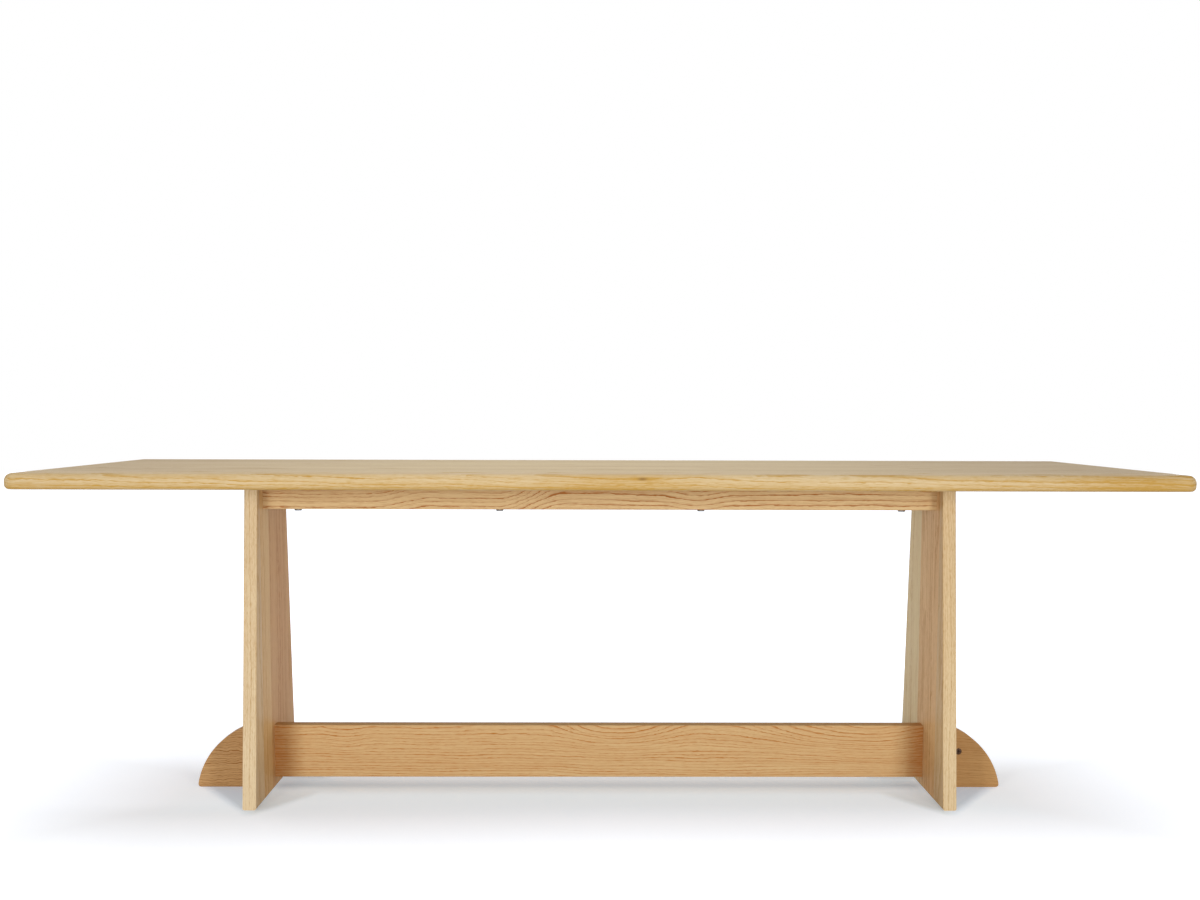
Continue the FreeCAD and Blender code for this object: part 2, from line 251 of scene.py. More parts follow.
shade = floor_math("ADD", floor_math("MAXIMUM", wedge, along_stretcher), left_front)
print("floor shade:", outer_wedge_shade, "at most beside the legs")

# %% The colour of the glow, and the finished floor
floor_colour = (0.79, 0.79, 0.79, 1)
glow_under_table = 0.418
even_glow = (0.93, 1.0, 1.12, 1)
cool_glow = (0.80, 1.0, 1.16, 1)
inner_wedge_glow = (0.78, 1.0, 1.17, 1)
outer_wedge_glow = (0.66, 1.0, 1.38, 1)
cooler_in_front = (-0.04, 0.02, 1, 0.5)
close_along = (0.75, 1.0, 1, 0)
close_across = (0.1, 0.34, 1, 0)

shaded = floor_math("SUBTRACT", glow_under_table, shade)
strength = floor_math("MULTIPLY", floor_math("ADD", shaded, further_out), seen_directly(paper_tree))
in_front = floor_ramp(towards_back, *cooler_in_front)
close = floor_math("MINIMUM", floor_ramp(out["X"], *close_along), floor_ramp(out["Y"], *close_across))
open_floor = mix_colours(paper_tree, floor_math("MULTIPLY", close, in_front), even_glow, cool_glow)
in_wedges = mix_colours(paper_tree, outside, inner_wedge_glow, outer_wedge_glow)
glow = mix_colours(paper_tree, floor_math("MULTIPLY", in_wedge, in_front), open_floor, in_wedges)
lit = add_node(paper_tree, "ShaderNodeBsdfDiffuse", {"Color": floor_colour})
glowing = add_node(paper_tree, "ShaderNodeEmission", {"Color": glow, "Strength": strength})
both = add_node(paper_tree, "ShaderNodeAddShader", {0: lit.outputs[0], 1: glowing.outputs[0]})
add_node(paper_tree, "ShaderNodeOutputMaterial", {"Surface": both.outputs[0]})
floor.data.materials.append(paper)
print("floor:", len(paper_tree.nodes), "nodes")

# %% [markdown]
# ## Oak
# Every board is solid oak under a satin lacquer. Oak shows a line for each year: a band of coarse,
# brownish pores, then denser and paler wood. A flat picture of grain would break at the edges, so the
# grain is worked out in space instead. The years are rings round the heart of the tree, a line that runs
# along the board a little way off it, and slow noise bends them. Where a board cuts the rings at a slant,
# the arched figure of flat-sawn oak appears by itself, and ends, edges and faces agree.

# %% Colours as they look on a screen
def screen_colour(red, green, blue):
    """A colour in screen numbers from 0 to 255, made linear for the shader by the sRGB rule."""
    channels = []
    for value in (red, green, blue):
        part = value / 255
        channels.append(part / 12.92 if part <= 0.04045 else ((part + 0.055) / 1.055) ** 2.4)
    return (*channels, 1.0)


# %% An empty node group with the sockets of an oak board
figure = bpy.data.node_groups.new("oak_figure", "ShaderNodeTree")
for name, kind in (("Place", "Vector"), ("Ring gap", "Float"), ("Wave", "Float"), ("Wobble", "Float"),
                   ("Push", "Float"), ("Lines", "Float"), ("Speckle", "Float"), ("Shade", "Float"),
                   ("Pale", "Color"), ("Brown", "Color")):
    figure.interface.new_socket(name=name, in_out="INPUT", socket_type="NodeSocket" + kind)
for name, kind in (("Color", "Color"), ("Roughness", "Float"), ("Height", "Float")):
    figure.interface.new_socket(name=name, in_out="OUTPUT", socket_type="NodeSocket" + kind)
given = add_node(figure, "NodeGroupInput").outputs
print("oak figure:", len(figure.interface.items_tree), "sockets")

# %% Helpers that work inside the group
noise_roughness = 0.55
grain_math = partial(math_node, figure)


def along_grain(lengthwise, across, detail):
    """Noise drawn out along the grain, with so many repeats in a metre each way."""
    stretched = vector_node(figure, "MULTIPLY", given["Place"], (lengthwise, across, across))
    noise = add_node(figure, "ShaderNodeTexNoise", {"Vector": stretched, "Scale": 1.0, "Detail": detail,
                     "Roughness": noise_roughness})
    return noise.outputs["Fac"]


def centred(noise, amount):
    """Noise between minus and plus half the amount."""
    return grain_math("MULTIPLY", grain_math("SUBTRACT", noise, 0.5), amount)


def between(value, low, high):
    """0 up to low, 1 from high on, and a smooth rise from one to the other."""
    return ramp(figure, value, low, high, curve="SMOOTHSTEP")


def total(*values):
    return reduce(partial(grain_math, "ADD"), values)


def product(*values):
    return reduce(partial(grain_math, "MULTIPLY"), values)


def line(phase, sharp, start, end):
    """A line once in a year: a quick rise, then a fade from start to end."""
    fade = grain_math("SUBTRACT", 1.0, between(phase, start, end))
    return product(between(phase, 0.0, sharp), fade)


# %% Rings round the heart, bent by slow noise, finer noise and frayed edges
radius = vector_node(figure, "LENGTH", vector_node(figure, "MULTIPLY", given["Place"], (0, 1, 1)))
wander = product(centred(along_grain(1.7, 7, 2), 2.0), given["Wave"])
ripple = product(centred(along_grain(10, 45, 2), 0.8), given["Ring gap"])
wobble = product(centred(along_grain(45, 25, 1), 2.0), given["Wobble"], given["Ring gap"])
fray = product(centred(along_grain(60, 300, 1), 0.45), given["Ring gap"])
bent = total(radius, given["Push"], wander, ripple, wobble, fray)
print("rings:", len(figure.nodes), "nodes")

# %% Years of uneven width, some bold and some faint, with three threads in each
years = grain_math("DIVIDE", bent, given["Ring gap"])
good_years = add_node(figure, "ShaderNodeTexNoise", {"W": years, "Scale": 0.35, "Detail": 1.0},
                      noise_dimensions="1D").outputs["Fac"]
uneven = total(years, centred(good_years, 1.5))
boldness = add_node(figure, "ShaderNodeTexWhiteNoise", {"W": grain_math("FLOOR", uneven)},
                    noise_dimensions="1D").outputs["Value"]
bold = grain_math("MULTIPLY_ADD", boldness, 0.6, 0.4)
broken = grain_math("MULTIPLY_ADD", between(along_grain(6, 200, 2), 0.32, 0.58), 0.5, 0.5)
spring_wood = product(line(grain_math("FRACT", uneven), 0.07, 0.1, 0.42), bold, broken)
thirds = grain_math("FRACT", product(uneven, 3.0))
threads = product(line(thirds, 0.25, 0.3, 0.9), between(along_grain(9, 380, 2), 0.38, 0.62))
print("rings and years:", len(figure.nodes), "nodes")

# %% Pores in the spring wood, dashes, streaks and clouds, and the finished figure
lacquer_roughness = 0.46

pores = product(between(along_grain(75, 1500, 1), 0.56, 0.68),
                grain_math("MULTIPLY_ADD", spring_wood, 0.8, 0.2))
dashes = between(along_grain(55, 640, 2), 0.46, 0.68)
streaks = centred(along_grain(1.6, 90, 3), 0.4)
clouds = centred(along_grain(1.0, 5, 2), 0.35)
lines = product(given["Lines"], total(product(spring_wood, 0.9), product(threads, 0.3)))
specks = product(given["Speckle"], total(product(pores, 0.35), product(dashes, 0.35)))
brownness = total(lines, specks, streaks, clouds, given["Shade"])
brown_share = grain_math("MINIMUM", grain_math("MAXIMUM", brownness, 0.0), 1.0)
wood_colour = mix_colours(figure, brown_share, given["Pale"], given["Brown"])
wood_roughness = total(lacquer_roughness, product(spring_wood, 0.1), product(pores, 0.2))
wood_height = grain_math("SUBTRACT", 1.0, total(pores, product(spring_wood, 0.3)))
add_node(figure, "NodeGroupOutput", {"Color": wood_colour, "Roughness": wood_roughness,
         "Height": wood_height})
print("oak figure:", len(figure.nodes), "nodes")

# %% [markdown]
# ## Knots and sweeps
# No two boards are alike. Near a knot the rings swerve and the wood turns brown, and where a limb once
# pulled the trunk aside, the lines climb across the board. Both are made by pushing the rings in or out
# before they are drawn: a mark does it inside a small egg-shaped space, a sweep from one place along the
# table to another. A mark can also darken the wood, or make it paler, over a whole edge, end or face;
# the marks below that do so are painted shade and painted light.

# %% Marks and sweeps
whole = 9


def mark(place, reach, push=0.0, shade=0.0):
    """An egg-shaped space with its push and shade; a reach of whole takes in all of a board that way."""
    return place, reach, push, shade


def within_mark(tree, spot, place, reach):
    """1 in the middle of an egg-shaped space, falling to 0 at its skin."""
    share = vector_node(tree, "DIVIDE", vector_node(tree, "SUBTRACT", spot, place), reach)
    return ramp(tree, vector_node(tree, "LENGTH", share), 0.0, 1.0, 1.0, 0.0, curve="SMOOTHSTEP")


def swept(tree, spot, start, end, push):
    """0 up to start along the table, then growing to push at end."""
    along = add_node(tree, "ShaderNodeSeparateXYZ", {0: spot}).outputs["X"]
    return ramp(tree, along, start, end, 0.0, push, curve="SMOOTHSTEP")


# %% One oak for each board
lacquer_shine = 0.03
pore_depth = 0.0002
pore_strength = 0.4
knot_colour = screen_colour(120, 88, 52)
knot_share = 0.75
along_x = Vector((0, 0, 0))
along_z = Vector((0, -math.pi / 2, 0))


def oak(name, heart, run, ring_gap, wave, pale, brown, lean=(0, 0, 0), wobble=0.0, lines=0.6,
        speckle=0.6, shade=0.1, shine=lacquer_shine, marks=(), sweeps=(), knots=()):
    """Oak whose heart passes through one point; run turns the grain, lean tips it a little, in degrees.

    A sweep is a start, an end and a push; a knot is a place and a reach.
    """
    material = empty_material(name)
    tree = material.node_tree
    spot = add_node(tree, "ShaderNodeTexCoord").outputs["Object"]
    turned = run + Vector([math.radians(angle) for angle in lean])
    place = add_node(tree, "ShaderNodeMapping", {"Vector": spot, "Location": heart, "Rotation": turned},
                     vector_type="TEXTURE")
    push = 0.0
    for start, end, amount in sweeps:
        push = math_node(tree, "ADD", push, swept(tree, spot, start, end, amount))
    for mark_place, reach, amount, deeper in marks:
        inside = within_mark(tree, spot, mark_place, reach)
        push = math_node(tree, "MULTIPLY_ADD", inside, amount, push)
        shade = math_node(tree, "MULTIPLY_ADD", inside, deeper, shade)
    look = add_node(tree, "ShaderNodeGroup", {
        "Place": place.outputs[0], "Ring gap": ring_gap, "Wave": wave, "Wobble": wobble, "Push": push,
        "Lines": lines, "Speckle": speckle, "Shade": shade, "Pale": pale, "Brown": brown},
        node_tree=figure).outputs
    colour = look["Color"]
    for knot_place, reach in knots:
        inside = math_node(tree, "MULTIPLY", within_mark(tree, spot, knot_place, reach), knot_share)
        colour = mix_colours(tree, inside, colour, knot_colour)
    relief = add_node(tree, "ShaderNodeBump", {"Height": look["Height"], "Strength": pore_strength,
                      "Distance": pore_depth})
    lacquered = add_node(tree, "ShaderNodeBsdfPrincipled", {
        "Base Color": colour, "Roughness": look["Roughness"],
        "Normal": relief.outputs[0], "Specular IOR Level": shine})
    add_node(tree, "ShaderNodeOutputMaterial", {"Surface": lacquered.outputs[0]})
    return material


# %% [markdown]
# ## The tabletop
# The top is a slab glued up from nine staves that run its whole length, then rounded over all round. It
# is made the same way here: one block is rounded at its corners and along its edges, and copies of it
# are sliced at the glue lines. Rounding first and slicing after leaves every stave closed, with its edges
# running on into its neighbour's.

# %% Helpers that add a block and take it up for editing
def add_block(name, low, high):
    bpy.ops.object.select_all(action="DESELECT")
    bpy.ops.mesh.primitive_cube_add(size=1, location=(low + high) / 2)
    block = bpy.context.active_object
    block.name = name
    block.scale = high - low
    bpy.ops.object.transform_apply(location=True, rotation=True, scale=True)
    return block


def take_up(piece):
    """Select just this piece and make it the active one."""
    bpy.ops.object.select_all(action="DESELECT")
    piece.select_set(True)
    bpy.context.view_layer.objects.active = piece


def work_on(piece):
    """Go into edit mode with just this piece selected."""
    take_up(piece)
    bpy.ops.object.mode_set(mode="EDIT")
    bpy.ops.mesh.select_mode(type="EDGE")


# %% Helpers that round edges and slice
def near(value, target, tolerance=1e-5):
    return abs(value - target) < tolerance


def select_edges(piece, wanted):
    """Select the edges for which wanted(one end, other end) is true."""
    mesh = bmesh.from_edit_mesh(piece.data)
    for edge in mesh.edges:
        edge.select_set(wanted(edge.verts[0].co, edge.verts[1].co))
    mesh.select_flush_mode()
    bmesh.update_edit_mesh(piece.data)


def round_edges(piece, radius, steps, wanted):
    work_on(piece)
    select_edges(piece, wanted)
    bpy.ops.mesh.bevel(offset=radius, segments=steps, affect="EDGES")
    bpy.ops.object.mode_set(mode="OBJECT")


def slice_off(piece, point, outward):
    """Cut the piece by a plane, close the cut, and drop what lies outward of it."""
    work_on(piece)
    bpy.ops.mesh.select_all(action="SELECT")
    bpy.ops.mesh.bisect(plane_co=point, plane_no=outward, use_fill=True, clear_outer=True)
    bpy.ops.object.mode_set(mode="OBJECT")


# %% One rounded slab
top_corner_radius = 0.020
top_corner_steps = 8
top_upper_radius = 0.016
top_lower_radius = 0.010
top_edge_steps = 10
stave_count = 9

stave_boxes = [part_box("top_stave_%d" % number) for number in range(1, stave_count + 1)]
slab_low, slab_high = stave_boxes[0][0], stave_boxes[-1][1]
slab = add_block("slab", slab_low, slab_high)
round_edges(slab, top_corner_radius, top_corner_steps, lambda a, b: near(a.x, b.x) and near(a.y, b.y))
for level, radius in ((slab_high.z, top_upper_radius), (slab_low.z, top_lower_radius)):
    round_edges(slab, radius, top_edge_steps, lambda a, b: near(a.z, level) and near(b.z, level))
print("slab:", len(slab.data.polygons), "faces")

# %% Marks along the front edge and at the ends
front_y = slab_low.y
knot_place = Vector((0.081, front_y, 0.741))
# Painted shade on the upper and lower rounding of the front edge, where they turn away from the light.
painted_shade_upper_round = mark((0, front_y, slab_high.z), (whole, 0.014, 0.012), shade=0.1)
painted_shade_lower_round = mark((0, front_y, slab_low.z), (whole, 0.03, 0.022), shade=0.38)
brown_by_the_knot = mark(knot_place, (0.055, 0.05, 0.006), shade=0.55)
deeper_middle = mark((0.03, front_y, 0.735), (0.22, 0.1, 0.08), shade=0.32)
deeper_right = mark((1.08, front_y, 0.735), (0.2, 0.1, 0.08), shade=0.42)
front_marks = [painted_shade_upper_round, painted_shade_lower_round, brown_by_the_knot, deeper_middle, deeper_right]
front_knots = [(knot_place, (0.016, 0.03, 0.005))]
# Painted shade at both ends of the top.
painted_shade_ends = [mark((end, 0, slab_high.z), (0.9, whole, whole), shade=0.3)
               for end in (slab_low.x, slab_high.x)]
print("marks:", len(front_marks), "in front and", len(painted_shade_ends), "at the ends")

# %% Helpers that cut a stave and finish a piece
front = Vector((0, -1, 0))
back = Vector((0, 1, 0))
smooth_up_to = math.radians(30)


def own_copy(piece, name):
    copy = piece.copy()
    copy.data = piece.data.copy()
    copy.name = name
    bpy.context.collection.objects.link(copy)
    return copy


def cut_stave(panel, name, number, count, low, high):
    """A copy of the panel, sliced at the glue lines in front of and behind one stave of so many."""
    stave = own_copy(panel, name)
    if number > 1:
        slice_off(stave, low, front)
    if number < count:
        slice_off(stave, high, back)
    return stave


def finish_piece(piece, material, slot, *nodes):
    """Smooth shading, a material, and its place on the table."""
    take_up(piece)
    bpy.ops.object.shade_smooth_by_angle(angle=smooth_up_to)
    piece.data.materials.clear()
    piece.data.materials.append(material)
    piece.data.name = piece.name
    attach(piece, "root")
    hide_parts(*nodes)


# %% Nine staves, sliced from the slab
chance = random.Random(7)
# A heart lies by chance within these limits of its stave's middle, along X, Y and Z; leans are in degrees.
top_heart_limits = ((-3, 3), (-0.05, 0.05), (-0.16, -0.08))
lean_limits = (-1.5, 1.5)
top_shade_limits = (0.02, 0.2)
top_pale = screen_colour(208, 187, 144)
top_brown = screen_colour(171, 142, 102)
top_shine = 0.11
edge_pale = screen_colour(205, 184, 146)
edge_brown = screen_colour(182, 143, 70)
edge_shine = 0.15
edge_heart = Vector((0.4, 0.05, -0.25))

for number, (low, high) in enumerate(stave_boxes, 1):
    stave = cut_stave(slab, "top_board_%d" % number, number, stave_count, low, high)
    middle = (low + high) / 2
    heart = middle + Vector([chance.uniform(*limits) for limits in top_heart_limits])
    lean = (0, chance.uniform(*lean_limits), chance.uniform(*lean_limits))
    tone = chance.uniform(*top_shade_limits)
    if number == 1:
        stave_oak = oak("oak_" + stave.name, middle + edge_heart, along_x, ring_gap=0.008, wave=0.02,
                        pale=edge_pale, brown=edge_brown, lean=(0, 1.4, 0), lines=0.9, speckle=1.0,
                        shine=edge_shine, marks=front_marks, knots=front_knots)
    else:
        stave_oak = oak("oak_" + stave.name, heart, along_x, ring_gap=0.0055, wave=0.012, pale=top_pale,
                        brown=top_brown, lean=lean, shade=tone, shine=top_shine, marks=painted_shade_ends)
    finish_piece(stave, stave_oak, "oak", "top_stave_%d" % number)
bpy.data.objects.remove(slab)
print("tabletop:", stave_count, "staves")

# %% [markdown]
# ## The legs
# Each leg is an upright panel of five staves, wider at the floor than under the top. A block is drawn in
# at its upper end, its long edges and its lower end are eased, and then it is sliced at the glue lines
# like the top. Its upper end stays sharp, because it butts against the underside of the tabletop. The
# staves come from different trees, some straw-coloured and some rosy. The outermost ones show quiet,
# straight edges. Those in front get painted shade on the inner face and painted light towards the floor.

# %% Tones and grain of the leg staves
cream_tone = (screen_colour(223, 202, 166), screen_colour(188, 150, 103))
sand_tone = (screen_colour(220, 197, 158), screen_colour(185, 146, 96))
pale_tone = (screen_colour(222, 190, 138), screen_colour(188, 141, 88))
straw_tone = (screen_colour(231, 214, 173), screen_colour(196, 163, 113))
rosy_tone = (screen_colour(209, 167, 115), screen_colour(176, 121, 72))
tan_tone = (screen_colour(226, 192, 143), screen_colour(184, 136, 88))
leg_tones = {"left": (cream_tone, pale_tone, rosy_tone, rosy_tone, rosy_tone),
             "right": (sand_tone, tan_tone, tan_tone, straw_tone, straw_tone)}
inner_grain = {"ring_gap": 0.007, "lines": 0.9, "speckle": 0.8}
outer_grain = {"ring_gap": 0.006, "lines": 0.6, "speckle": 0.9}
leg_heart_limits = ((-0.2, -0.1), (-0.05, 0.05), (-2, 2))
outer_heart_distance = 0.3
print("tones:", {side: len(tones) for side, tones in leg_tones.items()})

# %% Helpers that taper a panel and mark its front stave
leg_depth_at_top = 0.327
leg_edge_radius = 0.0025
leg_foot_radius = 0.0045
leg_edge_steps = 4


def tapered_panel(low, high):
    """A block drawn in at its upper end, with its lower end and its long edges eased."""
    panel = add_block("panel", low, high)
    work_on(panel)
    select_edges(panel, lambda a, b: near(a.z, high.z) and near(b.z, high.z))
    taper = leg_depth_at_top / (high.y - low.y)
    bpy.ops.transform.resize(value=(1, taper, 1), center_override=(0, 0, high.z))
    bpy.ops.object.mode_set(mode="OBJECT")
    round_edges(panel, leg_foot_radius, leg_edge_steps,
                lambda a, b: near(a.z, 0) and near(b.z, 0) and near(a.x, b.x))
    round_edges(panel, leg_edge_radius, leg_edge_steps,
                lambda a, b: near(a.x, b.x) and abs(a.z - b.z) > high.z / 2)
    return panel


def front_stave_painted_shade_and_light(inner_face, middle, floor_height):
    """Painted shade in a thin skin on the inner face, and painted light towards the floor."""
    return [mark((inner_face, middle.y, middle.z), (0.004, whole, whole), shade=0.2),
            mark((middle.x, middle.y, floor_height), (whole, whole, 0.45), shade=-0.16)]


# %% Two panels, each sliced into five staves
leg_stave_count = 5

for side in ("left", "right"):
    nodes = ["%s_leg_stave_%d" % (side, number) for number in range(1, leg_stave_count + 1)]
    boxes = [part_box(node) for node in nodes]
    panel_low, panel_high = boxes[0][0], boxes[-1][1]
    panel = tapered_panel(panel_low, panel_high)
    for number, (node, (low, high)) in enumerate(zip(nodes, boxes), 1):
        stave = cut_stave(panel, "%s_leg_board_%d" % (side, number), number, leg_stave_count, low, high)
        middle = (low + high) / 2
        heart = middle + Vector([chance.uniform(*limits) for limits in leg_heart_limits])
        lean = (chance.uniform(*lean_limits), 0, chance.uniform(*lean_limits))
        grain, marks = inner_grain, []
        if number in (1, leg_stave_count):
            heart = Vector((middle.x - outer_heart_distance, middle.y, heart.z))
            grain = outer_grain
        if number == 1:
            inner_face = low.x if side == "right" else high.x
            # The front stave gets painted shade on its inner face and painted light near the floor.
            marks = front_stave_painted_shade_and_light(inner_face, middle, panel_low.z)
        pale, brown = leg_tones[side][number - 1]
        stave_oak = oak("oak_" + stave.name, heart, along_z, wave=0.01, pale=pale, brown=brown,
                        lean=lean, marks=marks, **grain)
        finish_piece(stave, stave_oak, "oak", node)
    bpy.data.objects.remove(panel)
print("legs: 2 panels of", leg_stave_count, "staves")

# %% [markdown]
# ## Rails and stretcher
# Two rails under the top and one stretcher near the floor run between the legs. They are plain boards
# with eased edges. Round pockets near their ends hold the cams that pull them against the legs; each is
# drilled by taking a round cutter away from the board, and its place is noted for the cam that goes in
# later. The lines climb across the rails at two places and dip at a third, and on the stretcher they
# hang in arches from its upper edge. Painted shade darkens the top of each rail under the tabletop and
# the ends of the stretcher beside the legs, and painted light makes the stretcher's upper face paler.

# %% Helpers that turn a round bar and cut it away
def add_round(name, middle, radius, length, turn=(0, 0, 0), sides=48):
    bpy.ops.object.select_all(action="DESELECT")
    bpy.ops.mesh.primitive_cylinder_add(vertices=sides, radius=radius, depth=length, location=middle,
                                        rotation=turn)
    bar = bpy.context.active_object
    bar.name = name
    bpy.ops.object.transform_apply(location=True, rotation=True, scale=True)
    return bar


def cut_away(piece, cutter):
    take_up(piece)
    cut = piece.modifiers.new("cut", "BOOLEAN")
    cut.operation = "DIFFERENCE"
    cut.object = cutter
    bpy.ops.object.modifier_apply(modifier=cut.name)
    bpy.data.objects.remove(cutter)


# %% Helper that drills a pocket for a cam
cam_diameter = 0.015
cam_recess = 0.0005
cam_length = 0.0205
pocket_clearance = 0.0001
lying_along_y = (math.pi / 2, 0, 0)
cam_places = []


def drill_pocket(board, node, mouth, inward):
    """Drill from the middle of the pocket's mouth, inward, and note the place for a cam of this node."""
    depth = cam_recess + cam_length + pocket_clearance
    cutter = add_round("cutter", mouth, cam_diameter / 2 + pocket_clearance, 2 * depth, lying_along_y)
    cut_away(board, cutter)
    cam_places.append((node, mouth + inward * cam_recess, inward))


# %% Front and rear rail
rail_edge_radius = 0.002
rail_edge_steps = 3
rail_cam_setback = 0.034
rail_pale = screen_colour(219, 191, 144)
rail_brown = screen_colour(166, 106, 58)
rail_heart = Vector((0.7, 0, -0.2))
rail_heart_inwards = 0.06
climbs = [(-0.53, -0.37, -0.022), (-0.23, -0.08, -0.045)]

for name, outer, inner in (("front_rail", front, back), ("rear_rail", back, front)):
    low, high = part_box(name)
    rail = add_block(name + "_board", low, high)
    round_edges(rail, rail_edge_radius, rail_edge_steps,
                lambda a, b: near(a.z, low.z) and near(b.z, low.z) and near(a.y, b.y))
    middle = (low + high) / 2
    inner_face = middle.y + inner.y * (high.y - low.y) / 2
    for end in (low.x + rail_cam_setback, high.x - rail_cam_setback):
        drill_pocket(rail, "rail_cams", Vector((end, inner_face, middle.z)), outer)
    dip = mark((0.217, middle.y, middle.z), (0.09, 0.3, 0.3), push=0.009)
    # Painted shade along the rail's top, where the tabletop shades it.
    painted_shade_under_top = mark((middle.x, middle.y, high.z), (whole, 0.3, 0.029), shade=0.9)
    rail_oak = oak("oak_" + name, middle + inner * rail_heart_inwards + rail_heart, along_x,
                   ring_gap=0.0095, wave=0.012, pale=rail_pale, brown=rail_brown, lean=(0, 0.4, 0.3),
                   lines=1.0, speckle=0.35, sweeps=climbs, marks=[dip, painted_shade_under_top])
    finish_piece(rail, rail_oak, "oak", name)
print("rails: 2 boards")

# %% Stretcher
stretcher_edge_radius = 0.0015
stretcher_edge_steps = 3
stretcher_cam_setback = 0.054
stretcher_pale = screen_colour(216, 185, 137)
stretcher_brown = screen_colour(184, 122, 65)
stretcher_shine = 0.01

low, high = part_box("stretcher")
stretcher = add_block("stretcher_board", low, high)
round_edges(stretcher, stretcher_edge_radius, stretcher_edge_steps,
            lambda a, b: near(a.z, b.z) and near(a.y, b.y))
cam_height = (low.z + high.z) / 2
for end in (low.x + stretcher_cam_setback, high.x - stretcher_cam_setback):
    drill_pocket(stretcher, "stretcher_cams", Vector((end, high.y, cam_height)), front)
heart = Vector((0.1, 0.07, high.z + 0.035))
valley = mark((0.05, low.y, high.z + 0.005), (0.2, 0.3, 0.1), push=-0.024)
far_valley = mark((0.64, low.y, high.z + 0.02), (0.36, 0.3, 0.15), push=-0.04)
small_dip = mark((-0.59, low.y, high.z - 0.02), (0.07, 0.3, 0.09), push=-0.005)
# Painted shade at both ends of the stretcher, beside the legs.
painted_shade_left_end = mark((low.x, low.y, cam_height), (0.072, 0.1, 0.2), shade=0.55)
painted_shade_right_end = mark((high.x, low.y, cam_height), (0.055, 0.1, 0.2), shade=0.62)
# Painted light on the stretcher's upper face.
painted_light_upper_face = mark((0, 0, high.z), (whole, whole, 0.003), shade=-0.15)
stretcher_oak = oak("oak_stretcher", heart, along_x, ring_gap=0.0055, wave=0.016, pale=stretcher_pale,
                    brown=stretcher_brown, lean=(0, 0.4, 0.3), lines=1.0, speckle=0.5,
                    shine=stretcher_shine, marks=[valley, far_valley, small_dip, painted_shade_left_end,
                                                  painted_shade_right_end, painted_light_upper_face])
finish_piece(stretcher, stretcher_oak, "oak", "stretcher")
print("stretcher:", len(stretcher.data.polygons), "faces")

# %% [markdown]
# ## The feet
# A foot is a block sawn to one arc, flat against the leg and flat on the floor. A thick disc that is
# sliced twice gives just that outline. The last narrow faces at the tip are merged, to leave room for a
# round of the right size there, and then the other edges are eased. The left foot was cut from a board
# with bold lines, the right one from a quieter board. Both are coloured darker than the other boards,
# partly as painted shade where the legs shade them.

# %% Helper that slices a disc into a foot
foot_bulge = 0.0365
foot_edge_radius = 0.0015
foot_edge_steps = 3
foot_tip_radius = 0.008
foot_tip_steps = 6
merged_up_to = 1.2 * foot_tip_radius
arc_steps = 160
down = Vector((0, 0, -1))


def sliced_disc(name, low, high, leg_face, outward):
    """A thick disc cut flat at the leg and at the floor, with a rounded tip and eased edges."""
    chord = math.hypot(high.x - low.x, high.z - low.z)
    arc_radius = (chord ** 2 / 4 + foot_bulge ** 2) / (2 * foot_bulge)
    # The disc's middle lies as far below the floor as it lies behind the face of the leg.
    sunk = (arc_radius - foot_bulge) / math.sqrt(2) - (high.z - low.z) / 2
    foot = add_round(name, (leg_face - outward * sunk, 0, -sunk), arc_radius, high.y - low.y,
                     lying_along_y, arc_steps)
    slice_off(foot, (leg_face, 0, 0), Vector((-outward, 0, 0)))
    slice_off(foot, (0, 0, 0), down)
    work_on(foot)
    select_edges(foot, lambda a, b: near(a.x, b.x) and near(a.z, b.z) and not near(a.z, 0)
                 and a.z < merged_up_to)
    bpy.ops.mesh.dissolve_edges(use_verts=True)
    bpy.ops.object.mode_set(mode="OBJECT")
    round_edges(foot, foot_tip_radius, foot_tip_steps, lambda a, b: near(a.z, 0) and near(b.z, 0)
                and near(a.x, b.x) and not near(a.x, leg_face))
    round_edges(foot, foot_edge_radius, foot_edge_steps,
                lambda a, b: near(a.y, b.y) and not near(a.x, b.x))
    return foot


# %% Two feet
foot_cam_setback = 0.054
# The feet's pales and brown are darker than the other boards', partly as painted shade from the legs.
foot_brown_with_painted_shade = screen_colour(146, 92, 44)
foot_grain = {"left": {"pale": screen_colour(210, 170, 120), "ring_gap": 0.0055, "wobble": 1.0,
                       "lines": 1.0, "lean": (0, 0, 0)},
              "right": {"pale": screen_colour(200, 158, 106), "ring_gap": 0.006, "wobble": 0.0,
                        "lines": 0.4, "lean": (0, 2.5, 0)}}

for side, outward in (("left", -1), ("right", 1)):
    low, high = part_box(side + "_foot")
    leg_face = low.x if outward > 0 else high.x
    foot = sliced_disc(side + "_foot_block", low, high, leg_face, outward)
    cam_face, inward = (low.y, back) if outward > 0 else (high.y, front)
    mouth = Vector((leg_face + outward * foot_cam_setback, cam_face, cam_height))
    drill_pocket(foot, "foot_cams", mouth, inward)
    heart = Vector((leg_face, 0.05, -0.25))
    foot_oak = oak("oak_%s_foot" % side, heart, along_x, wave=0.012, brown=foot_brown_with_painted_shade, speckle=0.5,
                   **foot_grain[side])
    finish_piece(foot, foot_oak, "oak", side + "_foot")
print("feet: 2 blocks")

# %% [markdown]
# ## Bolts, cams and dowels
# Eight flat-headed bolts come up through the rails into the top. Their heads are dark, oiled steel with a
# chamfered rim and a hexagon socket. The cams are zinc with a cross for the screwdriver, coloured dark
# brown as painted shade of the pockets they sit in. One bolt and one cam are modelled and copied. The
# bolts, inserts and dowels that the wood hides keep their imported shape and only get a finish of their
# own.

# %% Finishes for metal and dowels
mottled_detail = 4.0
mottled_strength = 0.3
roughness_spread = 0.1


